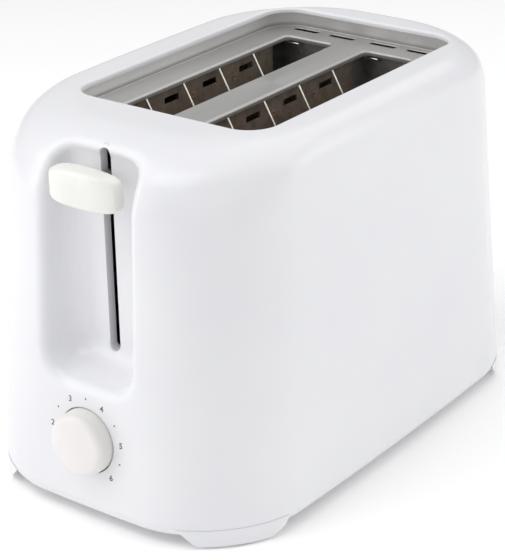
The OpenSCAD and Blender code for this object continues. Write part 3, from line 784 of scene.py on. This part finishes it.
# A foot's slanting ends: how far out along X and Y it starts, at each of three heights
FOOT_Z = (0.8, 5.0, 9.3)
FOOT_X = (56.3, 52.1, 47.8)
FOOT_Y = (100.2, 92.8, 90.0)
FOOT_BLOCK = ((0.8, 1.0), (1.1, 0.5), (1.8, 0.2), (3.4, 0.15), (5.0, 0.15))  # height, inset
FOOT_SKIRT_Z = np.linspace(4.7, 9.3, 9)
FOOT_SKIRT_IN, FOOT_SKIRT_GAP = 0.12, 0.1  # from the shell's outline, and from its tucked edge
NECK_X, NECK_Y, NECK_R, NECK_Z = 58.0, 101.0, 8, (3.0, 8.8)
BASE_SECTION = ((7.5, 3.7), (8.0, 3.2), (9.5, 3.2), (10.0, 3.7))  # height, inset
UPRIGHT_X, UPRIGHT_Y, UPRIGHT_Z = (32, 40), (-104.8, -99.8), (9, 32)  # these carry a board
PAD_R = 7.0
PAD_GAP = 0.05
SCREW_HOLES = (  # radius, places
    (1.9, ((-62, -84), (-62, 84), (62, -84), (62, 84))),
    (2.1, ((34, -67), (-34, -67), (55.5, 89), (-55.5, 89))),
)
BASE_VENT = (1.5, 12)  # half the size of the openings under the toasting chamber


def pad_spots():
    """Centres of the four rubber pads."""
    low, high = cad_box_mm("foot_pads")
    rows = low[1] + PAD_R, high[1] - PAD_R
    return [(x, y) for x in (low[0] + PAD_R, high[0] - PAD_R) for y in rows]


def corner_path(ring, x0, y0):
    """The part of a ring in the +X -Y corner beyond x0 and y0, as 60 points."""
    dense = resample(np.vstack([ring, ring[:1]]), 4000)
    return resample(dense[(dense[:, 0] >= x0) & (dense[:, 1] <= -y0)], 60)


def untucked(z, inset):
    """The shell's outline at height z as it would be without its tucked lower edge."""
    return outline_at(max(z, SKIRT), inset - float(tuck(max(z, SKIRT))))


def foot_ends(z):
    """Where a foot's slanting ends are at height z, along X and along Y."""
    return float(np.interp(z, FOOT_Z, FOOT_X)), float(np.interp(z, FOOT_Z, FOOT_Y))


def foot_parts():
    """A foot: a block under the shell, a skirt up beside its tucked edge, a neck to the plate."""
    block = []
    for z, inset in FOOT_BLOCK:
        path = corner_path(untucked(z, inset), *foot_ends(z))
        block.append(at_z(np.vstack([path, [[path[0, 0], path[-1, 1]]]]), z))
    skirt = []
    for z in FOOT_SKIRT_Z:
        outer = corner_path(untucked(z, FOOT_SKIRT_IN), *foot_ends(z))
        inner = corner_path(outline_at(max(z, SKIRT), -FOOT_SKIRT_GAP), *foot_ends(z))
        skirt.append(at_z(np.concatenate([outer, inner[::-1]]), z))
    neck = rod(NECK_X, -NECK_Y, NECK_R, *NECK_Z, 48)
    return [loft(block), loft(skirt), neck]


def rod(x, y, r, z0, z1, n):
    """An upright cylinder."""
    return loft(lathe([(r, z0), (r, z1)], (x, y, 0), "z", n))


def bar(x0, x1, y0, y1, r, z0, z1):
    """An upright block with rounded corners."""
    return loft([at_z(rounded_path(x0, x1, y0, y1, r), z) for z in (z0, z1)])


def build_base():
    plate = loft([at_z(outline_at(BASE_SECTION[0][0], inset), z) for z, inset in BASE_SECTION])
    obj = new_piece("base_shell", *plate, MAT["shell"], slot="shell_white", replaces=["base_cover"])
    foot = foot_parts()
    parts = []
    for sx in (1, -1):
        for sy in (1, -1):
            parts += [(verts * np.array([sx, sy, 1]), faces) for verts, faces in foot]
    for x0, x1 in ((-UPRIGHT_X[1], -UPRIGHT_X[0]), UPRIGHT_X):
        parts.append(bar(x0, x1, *UPRIGHT_Y, 0.8, *UPRIGHT_Z))
    combine(obj, parts, "UNION")
    holes = [rod(x, y, PAD_R + PAD_GAP, -1, 2.2, 48) for x, y in pad_spots()]
    for r, spots in SCREW_HOLES:
        holes += [rod(x, y, r, 0, 20, 24) for x, y in spots]
    dx, dy = BASE_VENT
    for x in range(-30, 31, 10):
        for y in (-30, 10, 50):
            holes.append(bar(x - dx, x + dx, y - dy, y + dy, 1.45, 2, 14))
    combine(obj, holes, "DIFFERENCE")
    steady_normals(obj)


build_base()


def build_pads():
    """Four pads with a shallow hollow in the middle of each sole."""
    low, high = (corner[2] for corner in cad_box_mm("foot_pads"))
    profile = [
        (0.01, low + 0.25), (3.2, low + 0.22), (3.7, low), (6.3, low), (6.8, low + 0.15),
        (PAD_R, low + 0.6), (PAD_R, high), (0.01, high),
    ]
    parts = [loft(lathe(profile, (x, y, 0), "z", 48)) for x, y in pad_spots()]
    new_piece(
        "foot_pads_soft", *join(*parts), MAT["rubber"], slot="rubber_grey", replaces=["foot_pads"]
    )


build_pads()

# ---------------------------------------------------------------- steel well plate

PLATE_LOW, PLATE_HIGH = cad_box_mm("top_plate")
PLATE_TOP = 170.5
PLATE_T = 0.7
PLATE_SHARP = 45
SLOT_HALF = 14.45
SLOT_X = 24.1
SLOT_Y = (-56.0, 78.0)
SLOT_R = 3.5
LIP_R = 1.3  # rounded edge of the bread slots
LIP_STEPS = 7
VENTS = ((-42, -27), (-20, -5), (5, 20), (27, 42))
VENT_Y, VENT_R, VENT_LIP = (88, 91.5), 1.2, 0.4
WALL_IN, WALL_R = 0.8, 15.2  # the well's wall stands this far inside the CAD plate's edge
WALL_MID = 175.5
GROOVE_R, GROOVE_Z, GROOVE_W = 0.5, 169.95, 1.3  # the fold round the foot of the wall
STEP_R = 0.3


def plate_section():
    """(distance in from the wall, height) pairs over the groove and up onto the plate's flat."""
    pairs = [(GROOVE_R - x, GROOVE_Z + GROOVE_R - y) for x, y in arc(0, 0, GROOVE_R, 15, 90, 5)]
    pairs += [(GROOVE_W, GROOVE_Z), (GROOVE_W + 0.1, GROOVE_Z + STEP_R)]
    for a in (0.0, 0.5, 1.0, math.pi / 2):
        pairs.append(
            (GROOVE_W + 0.1 + STEP_R * (1 - math.cos(a)), PLATE_TOP - STEP_R * (1 - math.sin(a)))
        )
    return pairs


def bread_slot_path(side, offset):
    x = side * SLOT_X
    return rounded_path(x - SLOT_HALF, x + SLOT_HALF, *SLOT_Y, SLOT_R, offset, 10)


def well_path(inward):
    """The foot of the well's wall drawn in by inward."""
    x = PLATE_HIGH[0] - WALL_IN
    return rounded_path(-x, x, PLATE_LOW[1] + WALL_IN, PLATE_HIGH[1] - WALL_IN, WALL_R, -inward, 14)


def build_plate():
    """One sheet: the wall of the well, a groove, and the flat with two lipped slots and four vents."""
    bm = bmesh.new()

    def ring(path, z):
        return [bm.verts.new(Vector((p[0], p[1], z)) * MM) for p in path]

    def bridge(a, b):
        for i in range(len(a)):
            k = (i + 1) % len(a)
            bm.faces.new((a[i], a[k], b[k], b[i]))

    def strip(rings):
        """Bridges (path, height) rings one after another; gives back the first and the last."""
        first = previous = ring(*rings[0])
        for path, z in rings[1:]:
            current = ring(path, z)
            bridge(previous, current)
            previous = current
        return first, previous

    wall = [(well_path(0), z) for z in (PLATE_HIGH[2], WALL_MID, GROOVE_Z + GROOVE_R)]
    loops = [strip(wall + [(well_path(inward), z) for inward, z in plate_section()])[1]]
    for side in (-1, 1):
        slot = [(bread_slot_path(side, LIP_R + 0.4), PLATE_TOP)]
        for offset, drop in fillet_rings(LIP_R, 0, LIP_STEPS):
            slot.append((bread_slot_path(side, offset), PLATE_TOP - drop))
        slot.append((bread_slot_path(side, 0), PLATE_LOW[2] + 0.05))
        loops.append(strip(slot)[0])
    for x0, x1 in VENTS:
        vent = [(rounded_path(x0, x1, *VENT_Y, VENT_R, VENT_LIP + 0.1, 6), PLATE_TOP)]
        for offset, drop in fillet_rings(VENT_LIP, 0, 3):
            vent.append((rounded_path(x0, x1, *VENT_Y, VENT_R, offset, 6), PLATE_TOP - drop))
        loops.append(strip(vent)[0])
    edges = []
    for loop in loops:
        for i in range(len(loop)):
            a, b = loop[i], loop[(i + 1) % len(loop)]
            edges.append(bm.edges.get((a, b)) or bm.edges.new((a, b)))
    bmesh.ops.triangle_fill(bm, use_beauty=True, use_dissolve=False, edges=edges, normal=(0, 0, 1))
    bm.verts.index_update()
    verts = [v.co / MM for v in bm.verts]
    faces = [[v.index for v in f.verts] for f in bm.faces]
    bm.free()
    obj = new_piece(
        "well_plate", verts, faces, MAT["plate"], slot="well_steel", replaces=["top_plate"],
        sharp=PLATE_SHARP,
    )
    up = sum(p.normal.z * p.area for p in obj.data.polygons)
    solid = obj.modifiers.new("sheet", "SOLIDIFY")
    solid.thickness = PLATE_T * MM
    solid.offset = -1 if up > 0 else 1
    bake_modifiers(obj, PLATE_SHARP)
    steady_normals(obj)


build_plate()

# ---------------------------------------------------------------- lever knob

# How far the front, top and lower face curve in at the ends, and the power of that curve
KNOB_FALL_SIDE, KNOB_FALL_TOP, KNOB_FALL_LOW, KNOB_BOW = 3.5, 2.2, 0.1, 2.4
# Powers of its rounded form: the lower, the squarer
KNOB_ENDS, KNOB_SWELL, KNOB_DEPTH, KNOB_UPPER, KNOB_LOWER = 0.34, 0.2, 0.56, 0.36, 0.22
KNOB_N = 84
POCKET_X, POCKET_H = 1.22, 8.1  # the pocket for the end of the arm


def signed_power(v, p):
    return np.sign(v) * np.abs(v) ** p


def build_lever_knob():
    """A pillow with a straight lower edge, an arched top and a bowed front."""
    low, high = cad_box_mm("lever_knob")
    half = high[0]
    w = np.linspace(0, 2 * np.pi, KNOB_N, endpoint=False)
    round_w, up_w = np.cos(w), np.sin(w)
    upright = np.where(up_w > 0, signed_power(up_w, KNOB_UPPER), signed_power(up_w, KNOB_LOWER))
    rings = []
    for u in np.linspace(-math.pi / 2 + 0.02, math.pi / 2 - 0.02, KNOB_N):
        x = half * float(signed_power(np.sin(u), KNOB_ENDS))
        share = float(np.abs(np.cos(u)) ** KNOB_SWELL)
        fall = (abs(x) / half) ** KNOB_BOW
        front, back = low[1] + KNOB_FALL_SIDE * fall, high[1]
        bottom, top = low[2] + KNOB_FALL_LOW * fall, high[2] - KNOB_FALL_TOP * fall
        y = (front + back) / 2 + signed_power(round_w, KNOB_DEPTH) * share * (back - front) / 2
        z = (bottom + top) / 2 + upright * share * (top - bottom) / 2
        rings.append(np.column_stack([np.full(KNOB_N, x), y, z]))
    obj = new_piece(
        "lever_knob_pillow", *loft(rings), MAT["knob"], "carriage", "lever_white", ["lever_knob"], 60
    )
    arm_low, arm_high = cad_box_mm("lever_arm")
    path = rounded_path(-POCKET_X, POCKET_X, arm_high[2] - POCKET_H, arm_high[2] + 0.1, 0.3, 0, 3)
    pocket = loft([at_y(path, y) for y in (arm_low[1] - 0.1, high[1] + 5)])
    combine(obj, [pocket], "DIFFERENCE", 50)


build_lever_knob()

# ---------------------------------------------------------------- dial

DIAL_Z, DIAL_R = round_node("dial_knob")
DIAL_FACE_R, DIAL_EDGE_R = 11.6, 3.3
DIAL_WALL = 2.0
HUB_R, SHAFT_R = 6.0, 2.96


def build_dial():
    """A cap with a slightly crowned face and a rounded edge, hollow behind round its hub."""
    low, high = cad_box_mm("dial_knob")
    front, back = low[1], high[1]
    face = [
        (r, front + 0.6 * (r / DIAL_FACE_R) ** 2.2) for r in (0.01, 2, 4, 6, 8, 10, DIAL_FACE_R)
    ]
    corner = arc(0, DIAL_EDGE_R, DIAL_EDGE_R, -84, -6, 12)
    edge = [(DIAL_FACE_R + 0.3 + x, front + 0.68 + y) for x, y in corner]
    side = [(15.25, front + 6.8), (15.38, front + 9.5), (DIAL_R, front + 12.5), (DIAL_R, back)]
    inner_r = DIAL_R - DIAL_WALL
    inner = [
        (inner_r, back), (inner_r, front + 8.5), (HUB_R, front + 8.5), (HUB_R, back - 0.3),
        (SHAFT_R, back - 0.3), (SHAFT_R, front + 8.3), (0.01, front + 8.3),
    ]
    rings = lathe(face + edge + side + inner, (0, 0, DIAL_Z), "y", 128)
    new_piece("dial_cap", *loft(rings), MAT["dial"], "dial", "dial_white", ["dial_knob"], 40)


build_dial()

MARKS_R = 20.4
DIGIT_H = 2.9
CAP_HEIGHT = 0.72  # of a font's size
INK_T = 0.06
DOT_R = 0.45
MARK_FIRST, MARK_STEP = -135, 54  # degrees from the top, clockwise


def mark_centre(angle):
    a = math.radians(angle)
    return MARKS_R * math.sin(a), DIAL_Z + MARKS_R * math.cos(a)


def build_marks():
    """Printed numbers and dots round the dial, thin and set on the shell."""
    shown = bpy.data.meshes.new("dial_marks")
    bm = bmesh.new()
    for i in range(6):
        curve = bpy.data.curves.new("digit", "FONT")
        curve.body = str(i + 1)
        curve.size = DIGIT_H / CAP_HEIGHT
        curve.align_x = "CENTER"
        curve.align_y = "CENTER"
        curve.resolution_u = 6
        curve.extrude = INK_T
        curve.offset = 0.07  # makes the strokes a little bolder
        digit = linked_object("digit", curve)
        bpy.context.view_layer.update()
        evaluated = digit.evaluated_get(bpy.context.evaluated_depsgraph_get())
        flat = bpy.data.meshes.new_from_object(evaluated)
        co = np.array([v.co for v in flat.vertices])
        middle = (co.min(0) + co.max(0)) / 2
        mark_x, mark_z = mark_centre(MARK_FIRST + MARK_STEP * i)
        x = co[:, 0] - middle[0] + mark_x
        z = co[:, 1] - middle[1] + mark_z
        y = front_y(x, z) - co[:, 2]
        for v, p in zip(flat.vertices, np.column_stack([x, y, z])):
            v.co = Vector(p) * MM
        bm.from_mesh(flat)
        bpy.data.objects.remove(digit)
    for i in range(5):
        path = circle_path(*mark_centre(MARK_FIRST + MARK_STEP * (i + 0.5)), DOT_R, 0, 20)
        y = front_y(path[:, 0], path[:, 1])
        bm.from_mesh(raw_mesh("dot", *loft([at_y(path, y - INK_T), at_y(path, y + INK_T)])))
    bmesh.ops.remove_doubles(bm, verts=bm.verts, dist=1e-6)
    bmesh.ops.recalc_face_normals(bm, faces=bm.faces)
    bm.to_mesh(shown)
    bm.free()
    shown.materials.append(MAT["ink"])
    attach(linked_object("dial_marks", shown), "body")


build_marks()

# ---------------------------------------------------------------- cord gland

BORE_R = 3.6
STEM_R = 6.5
RIB_R, RIB_ROOT_R, RIB_PITCH = 6.4, 5.9, 1.1


def build_gland():
    """A bush with a stem through the shell, a flange on its outside and a ribbed sleeve."""
    low, high = cad_box_mm("cord_gland")
    front, end = low[1], high[1]
    mid_z, flange_r = round_node("cord_gland")
    surface = float(back_y(0, mid_z))
    profile = [
        (BORE_R, front), (STEM_R, front), (STEM_R, surface + 0.85), (flange_r - 0.3, surface + 0.85),
        (flange_r, surface + 1.2), (flange_r, surface + 2.4), (flange_r - 0.5, surface + 3.0),
        (7.0, surface + 3.2),
    ]
    start = surface + 3.6
    while start + RIB_PITCH < end - 0.6:
        for r, share in ((RIB_R, 0), (RIB_R, 0.5), (RIB_ROOT_R, 0.6), (RIB_ROOT_R, 0.9)):
            profile.append((r, start + RIB_PITCH * share))
        start += RIB_PITCH
    profile += [(6.2, end - 0.4), (5.8, end), (4.0, end), (BORE_R, end - 0.4)]
    rings = lathe(profile, (0, 0, mid_z), "y", 72)
    new_piece(
        "cord_gland_bush", *loft(rings, close=True), MAT["gland"],
        slot="gland_grey", replaces=["cord_gland"],
    )


build_gland()

# ---------------------------------------------------------------- crumb tray handle

GRIP_EDGE = ((0, 1.0), (0.4, 0.35), (1.2, 0))  # distance from the upper or lower face, inset
GRIP_BACK = 0.35  # how far the grip sits in from the shell's back
SCOOP_HALF, SCOOP_RISE = 22, 4.2
SCOOP_Y = (130.5, 132.5, 150)  # front of the scoop at its mouth and at its roof, and its back


def build_handle():
    """The tray's front, flush with the shell's back, with a finger scoop under its middle."""
    low, high = cad_box_mm("tray_handle")
    x1, y0 = high[0], low[1]
    z0, z1 = low[2], high[2]
    xs = np.linspace(-x1, x1, 61)
    section = [(z0 + rise, inset) for rise, inset in GRIP_EDGE]
    section += [(z1 - fall, inset) for fall, inset in GRIP_EDGE[::-1]]
    rings = []
    for z, inset in section:
        outer = back_y(xs, np.full(len(xs), z)) - GRIP_BACK - inset
        across = np.clip(xs, inset - x1, x1 - inset)
        inner = np.column_stack([across[::-1], np.full(len(xs), y0)])
        rings.append(at_z(np.concatenate([np.column_stack([across, outer]), inner]), z))
    obj = new_piece(
        "tray_grip", *loft(rings), MAT["shell"], "tray", "shell_white", ["tray_handle"], 40
    )
    mouth_y, roof_y, back = SCOOP_Y
    below = z0 - 1
    scoop = []
    for x in np.linspace(-SCOOP_HALF, SCOOP_HALF, 41):
        roof = z0 + SCOOP_RISE * math.sqrt(max(0.0, 1 - (abs(x) / SCOOP_HALF) ** 4)) + 0.05
        scoop.append([(x, mouth_y, below), (x, back, below), (x, back, roof), (x, roof_y, roof)])
    combine(obj, [loft(scoop)], "DIFFERENCE", 40)
    steady_normals(obj)


build_handle()

# ---------------------------------------------------------------- return spring

WIRE_R, COIL_R = 0.6, 5.0
TURNS, TURN_STEPS, WIRE_SIDES = 9, 36, 10


def build_spring():
    """A helical spring under the carriage block."""
    low, high = cad_box_mm("return_spring")
    cx, cy = (low[0] + high[0]) / 2, (low[1] + high[1]) / 2
    rise = (high[2] - low[2]) - 2 * WIRE_R
    steps = TURNS * TURN_STEPS
    pitch = rise / (TURNS * 2 * math.pi)
    tilt = np.linspace(0, 2 * math.pi, WIRE_SIDES, endpoint=False)
    rings = []
    for i in range(steps + 1):
        a = 2 * math.pi * i / TURN_STEPS
        out = Vector((math.cos(a), math.sin(a), 0))
        along = Vector((-COIL_R * math.sin(a), COIL_R * math.cos(a), pitch)).normalized()
        up = out.cross(along)
        centre = Vector((cx, cy, low[2] + WIRE_R + rise * i / steps)) + COIL_R * out
        rings.append(
            np.array([tuple(centre + WIRE_R * (math.cos(t) * out + math.sin(t) * up)) for t in tilt])
        )
    obj = new_piece(
        "spring_coil", *loft(rings), MAT["bright"], slot="bright_steel", replaces=["return_spring"]
    )
    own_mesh(obj)


build_spring()

# ---------------------------------------------------------------- CAD nodes that stay

BOARD_SPOTS = ("left_outer", "left_inner", "right_inner", "right_outer")
# Material, width of the rounded edges in millimetres (0 leaves them as they are), and the CAD nodes
KEPT = (
    ("mica", 0.12, [f"heater_board_{spot}" for spot in BOARD_SPOTS]),
    ("nichrome", 0.05, [f"heater_ribbon_{spot}" for spot in BOARD_SPOTS]),
    ("guard", 0, [f"guard_{spot}" for spot in BOARD_SPOTS]),
    ("eyelet", 0.08, ["board_eyelets"]),
    ("galvanised", 0.2, ["chassis_front_plate", "chassis_rear_plate", "magnet_bracket"]),
    ("galvanised", 0.2, ["tray_rail_left", "tray_rail_right"]),
    ("galvanised", 0.25, ["rod_bracket_top", "rod_bracket_bottom"]),
    ("bright", 0.2, ["side_reflector_left", "side_reflector_right", "crumb_tray"]),
    ("bright", 0.2, ["bread_rack_left", "bread_rack_right", "dial_shaft"]),
    ("bright", 0.3, ["guide_rod"]),
    ("zinc", 0.1, ["board_screws"]),
    ("zinc", 0.15, ["base_screws", "chassis_screws"]),
    ("zinc", 0.2, ["lever_arm", "rack_crossbar", "magnet_core", "potentiometer"]),
    ("zinc", 0.3, ["armature_plate"]),
    ("phenolic", 0.3, ["contact_presser"]),
    ("phenolic", 0.4, ["carriage_block", "contact_block", "board_components"]),
    ("copper", 0.3, ["magnet_coil"]),
    ("brass", 0.08, ["contact_springs"]),
    ("board", 0.1, ["control_board"]),
    ("ceramic", 0.4, ["terminal_block"]),
    ("gland", 0.3, ["gland_nut"]),
    ("lead_brown", 0, ["lead_live"]),
    ("lead_blue", 0, ["lead_neutral"]),
)
for material, edge, kept_nodes in KEPT:
    for node in kept_nodes:
        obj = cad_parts[node]
        obj.data.materials.clear()
        obj.data.materials.append(MAT[material])
        if edge:
            soften(obj, edge)

# ---------------------------------------------------------------- floor, light, camera

FLOOR_HALF = 6  # metres


def build_floor():
    mesh = bpy.data.meshes.new("floor")
    bm = bmesh.new()
    bmesh.ops.create_grid(bm, x_segments=8, y_segments=8, size=FLOOR_HALF)
    bm.to_mesh(mesh)
    bm.free()
    mesh.materials.append(MAT["floor"])
    linked_object("floor", mesh)


build_floor()

# Azimuth (0 in front, 90 on the right) and elevation in degrees, distance and size in metres, and
# power in watts, of square lights that all look at LIGHT_CENTRE
SOFTBOXES = (
    (-50, 45, 1.5, 1.1, 6.5),
    (125, 12, 1.5, 0.8, 3.8),
    (125, 45, 1.5, 1.1, 3.7),
    (180, 50, 1.5, 1.1, 2.8),
    (0, 89, 1.5, 1.1, 1.7),
    (-50, 12, 1.5, 0.8, 2.8),
    (44, 14, 1.5, 1.1, 2.1),
    (0, 60, 1.0, 0.45, 1.3),
    (-24, 20, 1.3, 0.8, 1.5),
)
LIGHT_CENTRE = Vector((0, 0, 0.09))
WORLD_STRENGTH = 0.45  # of the white light from all round
BACKDROP_STRENGTH = 1.05  # of the white that the camera sees


def softbox(azimuth, elevation, distance, size, power):
    name = f"softbox_{azimuth}_{elevation}"
    light = bpy.data.lights.new(name, "AREA")
    light.shape = "SQUARE"
    light.size = size
    light.energy = power
    obj = linked_object(name, light)
    a, e = math.radians(azimuth), math.radians(elevation)
    aim = Vector((math.sin(a) * math.cos(e), -math.cos(a) * math.cos(e), math.sin(e)))
    obj.location = LIGHT_CENTRE + distance * aim
    obj.rotation_euler = (-aim).to_track_quat("-Z", "Y").to_euler()


def build_light():
    world = bpy.data.worlds.new("studio")
    world.use_nodes = True
    nodes, links = world.node_tree.nodes, world.node_tree.links
    nodes.clear()
    out = nodes.new("ShaderNodeOutputWorld")
    seen = nodes.new("ShaderNodeBackground")
    around = nodes.new("ShaderNodeBackground")
    set_inputs(seen, {"Color": (1, 1, 1, 1), "Strength": BACKDROP_STRENGTH})
    set_inputs(around, {"Color": (1, 1, 1, 1), "Strength": WORLD_STRENGTH})
    path = nodes.new("ShaderNodeLightPath")
    mix = nodes.new("ShaderNodeMixShader")
    links.new(path.outputs["Is Camera Ray"], mix.inputs["Fac"])
    links.new(around.outputs["Background"], mix.inputs[1])
    links.new(seen.outputs["Background"], mix.inputs[2])
    links.new(mix.outputs["Shader"], out.inputs["Surface"])
    bpy.context.scene.world = world
    for row in SOFTBOXES:
        softbox(*row)


build_light()

CAMERA_ANGLES = (37.03, 24.08, -1.15)  # azimuth, elevation and roll in degrees
CAMERA_PLACE = (519.94, -696.09, 459.37)
FOCAL_LENGTH, SENSOR_WIDTH = 123.8, 36


def build_camera():
    """The camera as fitted to the photograph, in place and angles."""
    azimuth, elevation, roll = (math.radians(a) for a in CAMERA_ANGLES)
    level = math.cos(elevation)
    back = Vector((math.sin(azimuth) * level, -math.cos(azimuth) * level, math.sin(elevation)))
    right = Vector((math.cos(azimuth), math.sin(azimuth), 0))
    up = back.cross(right)
    turned_right = right * math.cos(roll) + up * math.sin(roll)
    turned_up = up * math.cos(roll) - right * math.sin(roll)
    data = bpy.data.cameras.new("camera")
    data.sensor_width = SENSOR_WIDTH
    data.lens = FOCAL_LENGTH
    data.clip_start = 0.05
    camera = linked_object("camera", data)
    rotation = Matrix((turned_right, turned_up, back)).transposed().to_4x4()
    camera.matrix_world = Matrix.Translation(Vector(CAMERA_PLACE) * MM) @ rotation
    bpy.context.scene.camera = camera


build_camera()
bpy.context.scene.view_settings.view_transform = "Standard"
